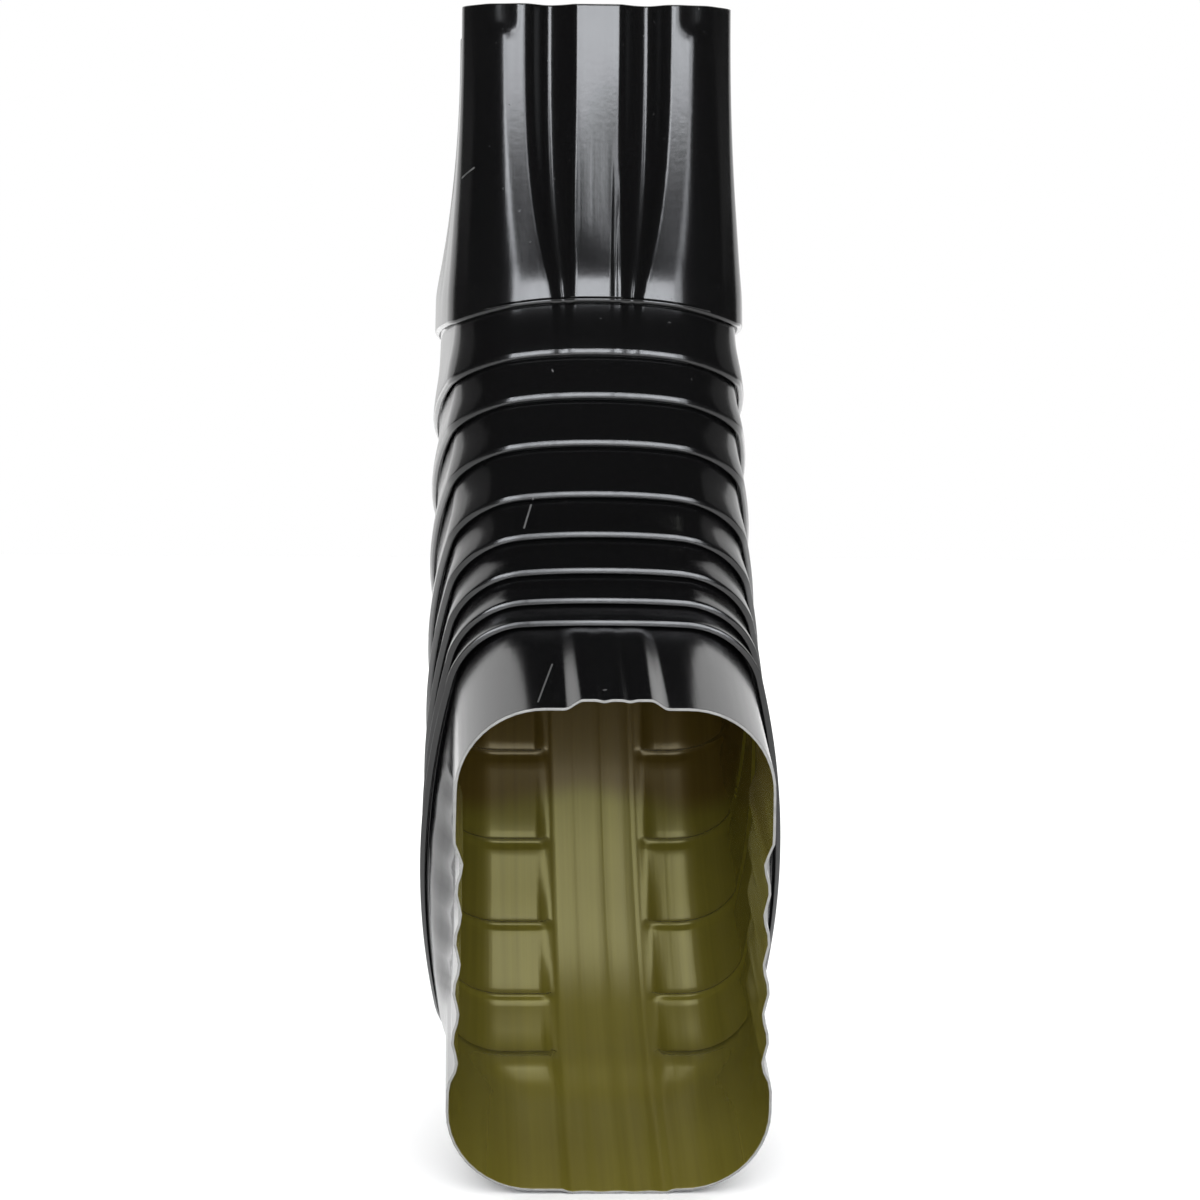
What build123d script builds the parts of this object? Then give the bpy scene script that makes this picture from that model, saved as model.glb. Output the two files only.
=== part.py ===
"""Downspout elbow of painted sheet metal, folded from one piece, in millimetres.

The bend turns in the plane of the wide walls, so the narrow walls are its throat and heel.
The origin is the centre of the crimped end. +Z runs up along the axis of that end, X runs
across the narrow walls, and the open collar looks towards -Y.
"""

import os
from collections import namedtuple
from math import atan, cos, pi, radians, sin, sqrt

from build123d import *

# Sheet and bend
sheet = 0.5
bend_angle = 75.0
throat_radius = 69.0

# Pleats, spaced a little unevenly along the throat: how far each lies from its even place, in degrees
pleat_count = 9
pleat_drift = (-0.7, -0.3, -1.3, -1.3, 0.0, 0.0, 0.1, 0.0, -0.8)

# Pipe between the pleats, whose wide walls bow out more towards the collar
ring_width = 58.4
ring_side = 88.0
corner_radius = 15.5
first_bulge = 0.6
last_bulge = 3.0

# Plain collar, which slips over the next pipe: how far each narrow end is drawn in a side,
# and how far its throat and heel stand out past the rings
collar_throat_step = 1.5
collar_heel_step = 0.4
collar_swell = 1.5
collar_length = 41.0
collar_blend = 12.0

# Crimped end, drawn in all round to slip into the pipe above, which flares out to the first pleat
crimp_step = 2.8
crimp_corner = 10.0
upright_length = 54.0
flare_power = 2.2
flare_stations = (0.0, 0.45, 0.75)

# Rise of each lip over the ring below it
throat_rise = 1.7
side_rise = 1.5
heel_rise = 0.9

# Fold behind each lip: its length at the throat, which opens out to a plain step at the heel
throat_fold = 4.0
heel_step = 1.2
lip_hem = 0.4
hem_share = 0.6
fold_gap = 0.15

# The lips sag along the pipe towards the corners of the throat
lip_sag = 3.8
sag_power = 2.3

# Raised bands down the middle of the heel, where the pleats stop, and of the collar's throat
band_land = 3.7
band_edge = 1.6
band_rise = 0.5
throat_band_rise = 1.2

# Flutes down each wide wall, with half a flute of plain wall at either end
flute_count = 5
flute_depth = 1.5

# Pair of grooves down the throat and the heel of the crimped end
groove_place = 4.7
groove_land = 0.7
groove_depth = 3.0
groove_narrowing = 0.55

Skin = namedtuple("Skin", "throat side heel band")
Shape = namedtuple("Shape", "throat_width heel_width side corner bulge")
Wave = namedtuple("Wave", "place width rise spans")

crimp_width = ring_width - 2 * crimp_step
crimp_side = ring_side - 2 * crimp_step
groove_width = crimp_width / 2 - crimp_corner - groove_place - groove_land
collar_throat_width = ring_width - 2 * collar_throat_step
collar_heel_width = ring_width - 2 * collar_heel_step
collar_side = ring_side + 2 * collar_swell
band_half = ring_width / 2 - corner_radius - band_land
throat_band_half = collar_throat_width / 2 - corner_radius - band_land
bend_centre = Vector(0, -ring_side / 2 - throat_radius, -upright_length)
level = Skin(0.0, 0.0, 0.0, 0.0)
lip = Skin(throat_rise, side_rise, heel_rise, 0.0)
heel_band = Wave(0.0, 2 * band_half, band_rise, 2)
throat_band = Wave(0.0, 2 * throat_band_half, throat_band_rise, 4)


def outward(angle):
    """Direction from the bend's centre to the section at this angle."""
    return Vector(0, cos(radians(angle)), -sin(radians(angle)))


def onward(angle):
    """Direction of flow through the section at this angle."""
    return Vector(0, -sin(radians(angle)), -cos(radians(angle)))


def section_plane(angle, throat_along=0.0, heel_along=0.0):
    """Plane across the pipe, moved along it by its own length at the throat and at the heel."""
    throat = bend_centre + outward(angle) * throat_radius + onward(angle) * throat_along
    heel = bend_centre + outward(angle) * (throat_radius + ring_side) + onward(angle) * heel_along
    across = Vector(1, 0, 0)
    return Plane(origin=(throat + heel) / 2, x_dir=across, z_dir=across.cross(throat - heel))


def moved_out(skin, amount):
    """The same skin, moved out by one amount everywhere."""
    return Skin(*(value + amount for value in skin))


def bow_angle(length, radius, bulge):
    """Half the turn of a wall that bows out by its bulge and runs on smoothly into its corners."""
    reach = length / 2 - radius
    return 2 * atan((sqrt(reach**2 + 8 * radius * bulge) - reach) / (4 * radius))


def wall(start, end, bow, waves, offset_at):
    """Points along one wall that bows by an angle and carries waves, moved out to its skin.

    offset_at gives the skin's offset at a share of the way along the wall.
    """
    span = end - start
    ahead = span.normalized()
    out = Vector(-ahead.Y, ahead.X)
    shares = {0.0, 0.5, 1.0}
    for wave in waves:
        for step in range(wave.spans + 1):
            place = wave.place + (step / wave.spans - 0.5) * wave.width
            shares.add(round(0.5 + place / span.length, 9))
    points = []
    for share in sorted(shares):
        tilt = bow * (1 - 2 * share)
        height = span.length / 2 * (cos(tilt) - cos(bow)) / sin(bow) if bow else 0.0
        slope = sin(tilt) / cos(tilt)
        for wave in waves:
            turn = 2 * pi * ((share - 0.5) * span.length - wave.place) / wave.width
            if abs(turn) < pi:
                height += wave.rise * (1 + cos(turn)) / 2
                slope -= wave.rise * pi / wave.width * sin(turn)
        normal = (out - ahead * slope).normalized()
        points.append(start + span * share + out * height + normal * offset_at(share))
    return points


def corner(x, y, radius, start_angle, end_angle):
    """Start, middle and end of a rounded corner."""
    turns = (start_angle, (start_angle + end_angle) / 2, end_angle)
    return [Vector(x + radius * cos(turn), y + radius * sin(turn)) for turn in turns]


def mirrored(points):
    """The same points across the pipe's middle, in order round the outline."""
    return [Vector(-point.X, point.Y) for point in reversed(points)]


def trace(points):
    """Draws an arc through three points that turn, or else a smooth curve through them all."""
    turn = (points[1] - points[0]).get_angle(points[2] - points[1])
    curve = ThreePointArc if len(points) == 3 and turn > 0.01 else Spline
    curve(*(tuple(point) for point in points))


def draw_section(plane, shape, skin, throat_waves=(), side_waves=(), heel_waves=(), sag=0.0):
    """Closed outline across the pipe, whose walls are moved out to the skin."""
    bow = bow_angle(shape.side, shape.corner, shape.bulge)
    half = shape.side / 2
    corner_y = half - shape.corner
    throat_x = shape.throat_width / 2 - shape.corner * cos(bow)
    heel_x = shape.heel_width / 2 - shape.corner * cos(bow)
    lean = atan((heel_x - throat_x) / (2 * corner_y))

    def throat_offset(share):
        return skin.throat

    def side_offset(share):
        """From the throat through the middle of the wide wall to the heel."""
        ends = skin.throat + (skin.heel - skin.throat) * share
        middle = skin.side - (skin.throat + skin.heel) / 2
        return ends + middle * 4 * share * (1 - share)

    def heel_offset(share):
        """Across the heel, level with the band in its middle."""
        from_end = min(share, 1 - share) * 2 * heel_x
        inside = (from_end - heel_x + band_half + band_edge) / band_edge
        return skin.heel + (skin.band - skin.heel) * min(1.0, max(0.0, inside))

    throat_ends = corner(throat_x, corner_y, shape.corner, pi / 2, lean + bow)
    heel_ends = corner(heel_x, -corner_y, shape.corner, lean - bow, -pi / 2)
    throat_corner = corner(throat_x, corner_y, shape.corner + skin.throat, pi / 2, lean + bow)
    heel_corner = corner(heel_x, -corner_y, shape.corner + skin.heel, lean - bow, -pi / 2)
    throat_wall = wall(-Vector(throat_x, -half), Vector(throat_x, half), 0.0, throat_waves, throat_offset)
    side_wall = wall(throat_ends[-1], heel_ends[0], bow, side_waves, side_offset)
    heel_wall = wall(Vector(heel_x, -half), Vector(-heel_x, -half), 0.0, heel_waves, heel_offset)
    right = [throat_corner, side_wall, heel_corner]
    left = [mirrored(points) for points in reversed(right)]

    def sagged(point):
        """The point, moved along the pipe by the sag that its place has."""
        across = min(1.0, abs(point.X) / (shape.throat_width / 2))
        return Vector(point.X, point.Y, sag * across**sag_power * (point.Y / shape.side + 0.5))

    with BuildLine(plane) as outline:
        for points in [throat_wall, *right, heel_wall, *left]:
            trace([sagged(point) for point in points])
    return outline.wire()


def flutes(shape, depth):
    """Row of flutes down a wide wall."""
    width = (shape.side - 2 * shape.corner) / (flute_count + 1)
    middle = (flute_count - 1) / 2
    return [Wave((number - middle) * width, width, -depth, 2) for number in range(flute_count)]


def grooves(share):
    """Grooves beside the flat band of the crimped end, which narrow and fade towards the bend."""
    width = groove_width * (1 - groove_narrowing * share)
    place = groove_place + width / 2
    depth = groove_depth * (1 - share**2)
    return [Wave(-place, width, -depth, 4), Wave(place, width, -depth, 4)]


def upright_sections(depth, overrun):
    """Crimped end, drawn this deep in the sheet and from this far above its rim."""
    lip_width = ring_width + 2 * throat_rise
    lip_corner = corner_radius + throat_rise
    for share in flare_stations:
        flare = share**flare_power
        width = crimp_width + (lip_width - crimp_width) * flare
        radius = crimp_corner + (lip_corner - crimp_corner) * flare
        shape = Shape(width, width, crimp_side + width - crimp_width, radius, 0.0)
        height = overrun if share == 0 else -upright_length * share
        plane = Plane(origin=(0, 0, height), x_dir=(1, 0, 0), z_dir=(0, 0, -1))
        side_waves = flutes(shape, flute_depth * (1 - share**2))
        skin = moved_out(level, -depth)
        yield draw_section(plane, shape, skin, grooves(share), side_waves, grooves(share))


def pleat_angle(pleat):
    """Angle at which a lip crosses the bend."""
    drift = pleat_drift[pleat % len(pleat_drift)]
    return (pleat + 0.5) * bend_angle / pleat_count + drift


def ring_section(pleat, skin, throat_along, heel_along):
    """Outline beside a pleat, moved along the pipe from the plane of its lip."""
    bulge = first_bulge + (last_bulge - first_bulge) * pleat / (pleat_count - 1)
    shape = Shape(ring_width, ring_width, ring_side, corner_radius, bulge)
    plane = section_plane(pleat_angle(pleat), throat_along, heel_along)
    return draw_section(plane, shape, skin, heel_waves=[heel_band], sag=lip_sag)


def painted_pleat(pleat):
    """Lip, the inner edge of its rim and the root of the fold, where the next ring starts."""
    rim = Skin(*(rise - min(2 * sheet, hem_share * rise) for rise in lip))
    yield ring_section(pleat, lip, 0.0, 0.0)
    yield ring_section(pleat, rim, 0.0, heel_step / 2)
    yield ring_section(pleat, level, -throat_fold, heel_step)


def inner_pleat(pleat):
    """Inside of the lip, then both edges of the fold that lies behind it."""
    fold = Skin(*(min(sheet, rise - sheet - fold_gap) for rise in lip[:3]), -sheet)
    yield ring_section(pleat, moved_out(lip, -sheet), -lip_hem, -sheet / 2)
    yield ring_section(pleat, fold, -throat_fold - sheet, (heel_step - sheet) / 2)
    yield ring_section(pleat, moved_out(level, -sheet), -throat_fold - sheet, heel_step - sheet / 2)


def collar_sections(depth, overrun):
    """Fluted collar, drawn this deep in the sheet and to this far past its mouth."""
    shape = Shape(collar_throat_width, collar_heel_width, collar_side, corner_radius, 0.0)
    skin = moved_out(level, -depth)
    for along in (collar_blend, collar_length + overrun):
        plane = section_plane(bend_angle, along, along)
        yield draw_section(
            plane, shape, skin, [throat_band], flutes(shape, flute_depth), [heel_band]
        )


def pipe(pleats, depth, overrun):
    """Solid that fills the pipe up to one face of its sheet."""
    outlines = list(upright_sections(depth, overrun))
    for pleat in range(pleat_count):
        outlines += pleats(pleat)
    outlines += collar_sections(depth, overrun)
    return Solid.make_loft(outlines, ruled=True)


outside = pipe(painted_pleat, 0.0, 0.0)
inside = pipe(inner_pleat, sheet, 2 * sheet)

with BuildPart() as elbow:
    add(outside)
    add(inside, mode=Mode.SUBTRACT)

elbow.part.label = "elbow"
os.makedirs("parts", exist_ok=True)
export_step(elbow.part, "parts/elbow.step")
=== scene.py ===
"""Downspout elbow of painted sheet metal, dressed for its photograph.

The sheet is one closed skin. Stations run down the outside of the pipe, round the cut edge
of the mouth, up the inside and round the upper edge, and a node tree lays a line round the
pipe at each of them. The elbow's sizes are in millimetres and degrees, and the tree turns them
into metres. The studio's are in metres.
"""

import logging
from dataclasses import dataclass, field, fields, replace
from enum import Enum
from math import atan, cos, pi, radians, sin, sqrt
from typing import Iterable, Sequence, Union

import bpy
from mathutils import Matrix, Vector


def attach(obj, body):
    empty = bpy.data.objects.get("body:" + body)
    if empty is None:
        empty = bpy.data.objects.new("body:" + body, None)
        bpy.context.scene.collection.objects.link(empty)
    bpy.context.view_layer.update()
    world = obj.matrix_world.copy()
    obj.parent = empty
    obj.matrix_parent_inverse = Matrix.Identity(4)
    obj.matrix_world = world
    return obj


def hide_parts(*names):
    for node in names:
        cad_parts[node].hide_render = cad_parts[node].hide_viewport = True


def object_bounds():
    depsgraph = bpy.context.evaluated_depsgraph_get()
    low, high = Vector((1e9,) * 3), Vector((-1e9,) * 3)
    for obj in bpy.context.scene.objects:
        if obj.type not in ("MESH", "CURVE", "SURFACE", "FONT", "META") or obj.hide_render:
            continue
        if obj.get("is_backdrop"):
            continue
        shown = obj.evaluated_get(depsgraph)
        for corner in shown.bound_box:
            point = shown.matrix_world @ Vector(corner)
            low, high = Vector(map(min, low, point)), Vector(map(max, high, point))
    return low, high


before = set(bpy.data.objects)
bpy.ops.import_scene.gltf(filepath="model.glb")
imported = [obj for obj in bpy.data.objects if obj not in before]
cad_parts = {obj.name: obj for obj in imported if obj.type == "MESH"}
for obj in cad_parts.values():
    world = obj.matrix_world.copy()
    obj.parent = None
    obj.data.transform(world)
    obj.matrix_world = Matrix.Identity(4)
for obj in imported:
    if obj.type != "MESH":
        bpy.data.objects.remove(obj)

LOG = logging.getLogger("elbow")
METRE = 0.001
NODE = "elbow"
BODY = "root"
PATTERN = "sheet_place"
# Numbers of a station that move it out from the plain outline.
OUTS = ("throat_out", "side_out", "heel_out", "band_out")
# Points of the skin this near to each other are one, in metres.
SAME_PLACE = 2e-6
# A face of the skin has the finish of the last side whose number is this near to the face's own.
FACE_REACH = 0.75
# Sockets of a Mix node that mixes colours, by number, because their names repeat.
FIRST_COLOUR, SECOND_COLOUR, MIXED_COLOUR = 6, 7, 2
# Colour of the front, left and right lights, and the point of the elbow that they face.
COOL = (0.92, 0.95, 1.0)
MIDDLE = (0.0, -0.05, -0.08)

Number = Union["Value", float]
Tint = Union["Value", Sequence[float]]


class Value:
    """A socket that takes part in sums."""

    def __init__(self, graph: "Graph", socket: bpy.types.NodeSocket) -> None:
        """Wraps one socket of the graph's tree."""
        self.graph = graph
        self.socket = socket

    def __add__(self, other: Number) -> "Value":
        """Sum."""
        return self.graph.math("ADD", self, other)

    def __radd__(self, other: Number) -> "Value":
        """Sum, with the number first."""
        return self.graph.math("ADD", other, self)

    def __sub__(self, other: Number) -> "Value":
        """Difference."""
        return self.graph.math("SUBTRACT", self, other)

    def __rsub__(self, other: Number) -> "Value":
        """Difference, with the number first."""
        return self.graph.math("SUBTRACT", other, self)

    def __mul__(self, other: Number) -> "Value":
        """Product."""
        return self.graph.math("MULTIPLY", self, other)

    def __rmul__(self, other: Number) -> "Value":
        """Product, with the number first."""
        return self.graph.math("MULTIPLY", other, self)

    def __truediv__(self, other: Number) -> "Value":
        """Quotient."""
        return self.graph.math("DIVIDE", self, other)

    def __pow__(self, other: Number) -> "Value":
        """Power."""
        return self.graph.math("POWER", self, other)

    def __neg__(self) -> "Value":
        """Negative."""
        return self.graph.math("MULTIPLY", self, -1.0)


class Graph:
    """A node tree under construction."""

    def __init__(self, tree: bpy.types.NodeTree) -> None:
        """Starts from an empty tree."""
        self.tree = tree
        tree.nodes.clear()

    def add(self, kind: str, settings: dict | None = None, values: dict | None = None) -> bpy.types.Node:
        """Adds one node.

        Args:
            kind: the node's type.
            settings: its properties, set before its sockets.
            values: numbers, colours or links for its input sockets, by name or number.

        Returns:
            The node.
        """
        node = self.tree.nodes.new(kind)
        for name, setting in (settings or {}).items():
            setattr(node, name, setting)
        for key, value in (values or {}).items():
            self._feed(node.inputs[key], value)
        return node

    def _feed(self, socket: bpy.types.NodeSocket, value: object) -> None:
        """Links a value to a socket, or sets the socket to it.

        Args:
            socket: the input.
            value: a value, another node's output, or what the input itself can be set to.
        """
        if isinstance(value, Value):
            value = value.socket
        if isinstance(value, bpy.types.NodeSocket):
            self.tree.links.new(value, socket)
        else:
            socket.default_value = value

    def value(self, node: bpy.types.Node, output: int | str = 0) -> Value:
        """One output of a node, for use in sums."""
        return Value(self, node.outputs[output])

    def math(self, operation: str, *operands: Number, clamped: bool = False) -> Value:
        """Adds a Math node.

        Args:
            operation: what the node does.
            operands: values or numbers.
            clamped: whether the result stays between 0 and 1.

        Returns:
            The result.
        """
        settings = {"operation": operation, "use_clamp": clamped}
        node = self.add("ShaderNodeMath", settings, dict(enumerate(operands)))
        return self.value(node)

    def clamp(self, value: Number) -> Value:
        """The value, kept between 0 and 1."""
        return self.math("ADD", value, 0.0, clamped=True)

    def smooth(self, value: Number) -> Value:
        """The value, kept between 0 and 1 and eased at both ends."""
        inside = self.clamp(value)
        return inside * inside * (3.0 - 2.0 * inside)

    def blend(self, start: Number, end: Number, share: Number) -> Value:
        """From start to end by a share."""
        return (end - start) * share + start

    def ridge(self, place: Number, middle: Number, width: Number) -> Value:
        """A rounded ridge one high, as wide as given, and flat outside."""
        turn = self.math("MINIMUM", self.math("ABSOLUTE", (place - middle) / width), 0.5)
        return 0.5 + 0.5 * self.math("COSINE", turn * (2 * pi))


def mix(start: float, end: float, share: float) -> float:
    """From start to end by a share."""
    return start + (end - start) * share


def eased(share: float) -> float:
    """A share between 0 and 1, eased at both ends."""
    inside = min(1.0, max(0.0, share))
    return inside * inside * (3 - 2 * inside)


def steps(count: int, power: float = 1.0) -> Iterable[float]:
    """Shares after 0 up to 1, closer together near 1 where the power is over 1."""
    return (1 - (1 - number / count) ** power for number in range(1, count + 1))


def begun(share: float, span: tuple[float, float]) -> float:
    """How far a change has come that starts at the span's first share and lasts its second."""
    start, length = span
    return eased((share - start) / length)


def arch(share: Value) -> Value:
    """A height that is 1 halfway and 0 at both ends."""
    return 4.0 * share * (1.0 - share)


def shown(name: str, data: bpy.types.ID) -> bpy.types.Object:
    """Makes an object and puts it in the scene.

    Args:
        name: the object's name.
        data: its mesh, light or camera.

    Returns:
        The object.
    """
    made = bpy.data.objects.new(name, data)
    bpy.context.scene.collection.objects.link(made)
    return made


class Side(Enum):
    """Which face of the sheet a station is on."""

    PAINTED = 0
    EDGE = 1
    PRIMED = 2


@dataclass(frozen=True)
class Station:
    """One line round the pipe, in millimetres and radians.

    The along sizes move it down the pipe from its plane, at the throat and at the heel. The out
    sizes move it out from the plain outline. The rest are the outline's own, which is a ring's
    unless another is given, and its waves'.
    """

    angle: float = 0.0
    throat_along: float = 0.0
    heel_along: float = 0.0
    throat_out: float = 0.0
    side_out: float = 0.0
    heel_out: float = 0.0
    band_out: float = 0.0
    throat_width: float = 54.8
    heel_width: float = 60.0
    side: float = 88.0
    corner: float = 12.5
    bulge: float = 0.0
    sag: float = 0.0
    flute: float = 0.0
    groove: float = 0.0
    groove_width: float = 11.0
    nick: float = 0.0
    dent: float = 0.0
    twist: float = 0.0
    throat_band: float = 0.0
    heel_band: float = 0.5
    seam: float = 0.0
    face: float = 0.0

    def bow(self) -> float:
        """Half the turn of a wide wall that bows out and runs smoothly into its corners.

        Returns:
            The half turn, in radians.
        """
        reach = self.side / 2 - self.corner
        root = sqrt(reach**2 + 8 * self.corner * self.bulge)
        return 2 * atan((root - reach) / (4 * self.corner))

    def towards(self, other: "Station", share: float) -> "Station":
        """The station at a share of the way to another."""
        between = {f.name: mix(getattr(self, f.name), getattr(other, f.name), share) for f in fields(self)}
        return Station(**between)

    def sunk(self, amount: float) -> "Station":
        """The same line, this much deeper in the sheet."""
        return replace(self, **{name: getattr(self, name) - amount for name in OUTS})


@dataclass(frozen=True)
class Bend:
    """The pleated bend. Its drift is how far each lip lies past its even place, in degrees."""

    angle: float = 75.0
    throat_radius: float = 69.0
    ring_side: float = 88.0
    upright_length: float = 54.0
    drift: tuple[float, ...] = (-0.7, -0.3, -1.3, -1.3, 0.0, 0.0, 0.1, 0.0, -0.8)
    first_bulge: float = 1.1
    last_bulge: float = 3.5

    @property
    def pleats(self) -> int:
        """How many pleats the bend has."""
        return len(self.drift)

    def pleat_angle(self, pleat: int) -> float:
        """Angle of a lip across the bend, in radians."""
        return radians((pleat + 0.5) * self.angle / self.pleats + self.drift[pleat])

    def bulge(self, pleat: int) -> float:
        """How far the wide walls bow out at a lip."""
        return mix(self.first_bulge, self.last_bulge, pleat / (self.pleats - 1))


@dataclass(frozen=True)
class Pleat:
    """One fold of the bend: a rounded lip, and the doubled sheet behind it.

    The rises and rims are for the throat, the wide walls and the heel. The wide walls' rises
    shrink to the last side's share of them, from and over the shares of the bend in side_in.
    """

    rises: tuple[float, float, float] = (1.7, 1.5, 0.9)
    rims: tuple[float, float, float] = (0.45, 0.5, 0.36)
    nose: float = 0.9
    nose_turn: float = 3.5
    nose_lean: float = 3.5
    heel_roll: float = 0.5
    last_side: float = 0.6
    side_in: tuple[float, float] = (0.5, 0.5)
    bead: float = 0.45
    bead_crest: float = 0.4
    side_bead: float = 1.8
    bead_share: float = 0.15
    fold: float = 4.0
    heel_step: float = 1.2
    sag: float = 3.8
    body_share: float = 0.48
    flare_start: float = 0.35


@dataclass(frozen=True)
class CrimpedEnd:
    """The upright end that slips into the pipe above.

    A pair that ends in in or out holds the share of the length where a wave starts to come or
    go, and the share over which it does.
    """

    width: float = 52.8
    side: float = 82.4
    corner: float = 8.2
    flare_power: float = 2.2
    crest: float = 0.9
    groove: float = 3.0
    groove_width: float = 9.8
    groove_narrowing: float = 0.55
    groove_fade: float = 0.75
    groove_power: float = 3.2
    groove_after: float = 0.3
    turn_length: float = 2.0
    nick: float = 0.7
    nick_start: float = 3.0
    nick_end: float = 6.0
    dent: float = 1.0
    dent_end: float = 0.95
    twist: float = 0.05
    twist_in: tuple[float, float] = (0.15, 0.45)
    twist_out: tuple[float, float] = (0.75, 0.15)
    flute: float = 1.5
    seam: float = 0.35
    seam_in: tuple[float, float] = (0.3, 0.5)
    sag_in: tuple[float, float] = (0.7, 0.3)
    band_in: tuple[float, float] = (0.5, 0.5)


@dataclass(frozen=True)
class Collar:
    """The plain fluted end that slips over the next pipe."""

    throat_width: float = 55.4
    heel_width: float = 57.6
    side: float = 91.0
    corner: float = 15.5
    length: float = 41.0
    blend: float = 7.0
    bead_share: float = 0.5
    flute: float = 1.5
    band: float = 1.6


@dataclass(frozen=True)
class Steps:
    """How finely the sheet is divided.

    A whole number is how many lines a part has. A power over 1 brings them closer together
    towards the part's end. The rim places and the mouth gap are lines of their own, in
    millimetres from the crimped end's edge and from the mouth.
    """

    rim_places: tuple[float, ...] = (0.0, 0.3, 1.0, 2.0, 3.0, 4.0, 5.0, 6.0, 7.0)
    upright: int = 28
    upright_power: float = 1.7
    ring: int = 8
    ring_inside: int = 6
    ring_power: float = 1.5
    bead: int = 5
    crest: int = 3
    nose: int = 2
    roll: int = 5
    crevice: int = 2
    turn_inside: int = 4
    collar_blend: int = 6
    collar: int = 5
    collar_power: float = 1.4
    mouth_gap: float = 0.3


@dataclass
class Profile:
    """The stations of the whole sheet, in order round its thickness.

    The edge round is the size of a cut edge's broken corners, and the edge break is the share of
    it at which a corner's first line lies.
    """

    sheet: float = 0.5
    edge_round: float = 0.1
    edge_break: float = 0.3
    bend: Bend = field(default_factory=Bend)
    pleat: Pleat = field(default_factory=Pleat)
    crimp: CrimpedEnd = field(default_factory=CrimpedEnd)
    collar: Collar = field(default_factory=Collar)
    steps: Steps = field(default_factory=Steps)

    def stations(self) -> list[Station]:
        """Down the painted face, round the mouth, up the primed face and round the upper edge.

        Returns:
            The stations, with the first again at the end.
        """
        painted = self._pipe(0.0, Side.PAINTED)
        primed = self._pipe(self.sheet, Side.PRIMED)[::-1]
        mouth = self._edge(painted[-1], primed[0], 1.0)
        rim = self._edge(primed[-1], painted[0], -1.0)
        loop = painted + mouth + primed + rim
        return loop + loop[:1]

    def _pipe(self, depth: float, side: Side) -> list[Station]:
        """One face of the sheet from the upper edge to the mouth.

        Args:
            depth: how deep in the sheet the face lies.
            side: which face it is.

        Returns:
            Its stations.
        """
        rows = self._upright(depth)
        for pleat in range(self.bend.pleats):
            if pleat:
                rows += self._ring(self._root(self._lip(pleat - 1), depth), pleat, depth)
            rows += self._inner_fold(pleat) if depth else self._outer_fold(pleat)
        rows += self._collar(self._root(self._lip(self.bend.pleats - 1), depth), depth)
        return [replace(row, face=float(side.value)) for row in rows]

    def _edge(self, start: Station, end: Station, onward: float) -> list[Station]:
        """The cut edge of the sheet between its two faces, with its corners just broken.

        Args:
            start: the last line of the face before it.
            end: the first line of the face after it.
            onward: 1 at the mouth, and -1 at the upper edge.

        Returns:
            Its stations.
        """
        across = abs(end.throat_out - start.throat_out)
        turn = self.edge_round
        first = self.edge_break * turn
        places = (
            (first, turn - first),
            (turn, turn),
            (across - turn, turn),
            (across - first, turn - first),
        )
        rows = []
        for inward, out in places:
            row = start.towards(end, inward / across)
            rows.append(self._moved(row, onward * out, float(Side.EDGE.value)))
        return rows

    @staticmethod
    def _moved(row: Station, along: float, face: float) -> Station:
        """A station moved along the pipe, on another face."""
        place = {"throat_along": row.throat_along + along, "heel_along": row.heel_along + along}
        return replace(row, face=face, **place)

    def _roll(self, pleat: int) -> list[tuple[float, float]]:
        """Places round a lip from its crest, past a flatter nose that faces forward, to its rim.

        Args:
            pleat: the lip's number.

        Returns:
            The way along the pipe from the lip's tip, and the share fallen from rise to rim.
        """
        size, lines = self.pleat, self.steps
        half = radians(size.nose_turn)
        facing = self.bend.pleat_angle(pleat) - radians(size.nose_lean)
        start, end = max(0.0, facing - half), max(0.0, facing + half)
        fall = size.rises[0] - size.rims[0]
        nose_radius = size.nose / (2 * half)
        nose_fall = cos(start) - cos(end)
        radius = (fall - nose_radius * nose_fall) / (2 - nose_fall)
        arcs = (
            (0.0, start, radius, lines.crest),
            (start, end, nose_radius, lines.nose),
            (end, pi / 2, radius, lines.roll),
            (pi / 2, pi, radius, lines.roll),
        )
        along, fallen, tip = 0.0, 0.0, 0.0
        places = [(along, fallen)]
        for first, last, arc_radius, count in arcs:
            for share in steps(count):
                turn = mix(first, last, share)
                x = along + arc_radius * (sin(turn) - sin(first))
                y = fallen + arc_radius * (cos(first) - cos(turn))
                places.append((x, y))
            along, fallen = places[-1]
            tip = max(tip, along)
        return [(x - tip, y / fall) for x, y in places]

    def _lip(self, pleat: int) -> Station:
        """The crest of a lip, where its roll starts.

        Args:
            pleat: the lip's number.

        Returns:
            Its station.
        """
        rises, crimp = self.pleat.rises, self.crimp
        late = begun(pleat / (self.bend.pleats - 1), self.pleat.side_in)
        return Station(
            angle=self.bend.pleat_angle(pleat),
            throat_along=self._roll(pleat)[0][0],
            heel_along=-self.pleat.heel_roll,
            throat_out=rises[0],
            side_out=rises[1] * mix(1.0, self.pleat.last_side, late),
            heel_out=rises[2],
            bulge=self.bend.bulge(pleat),
            sag=self.pleat.sag,
            groove=crimp.groove * (1 - crimp.groove_fade) * crimp.groove_after**pleat,
            groove_width=crimp.groove_width * (1 - crimp.groove_narrowing),
            seam=crimp.seam / (1 + pleat),
        )

    @staticmethod
    def _flared(share: float, body: float, start: float) -> float:
        """Rise of a ring at a share of its length, which flattens towards its crest."""
        return body * share + (1 - body) * eased((share - start) / (1 - start))

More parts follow.
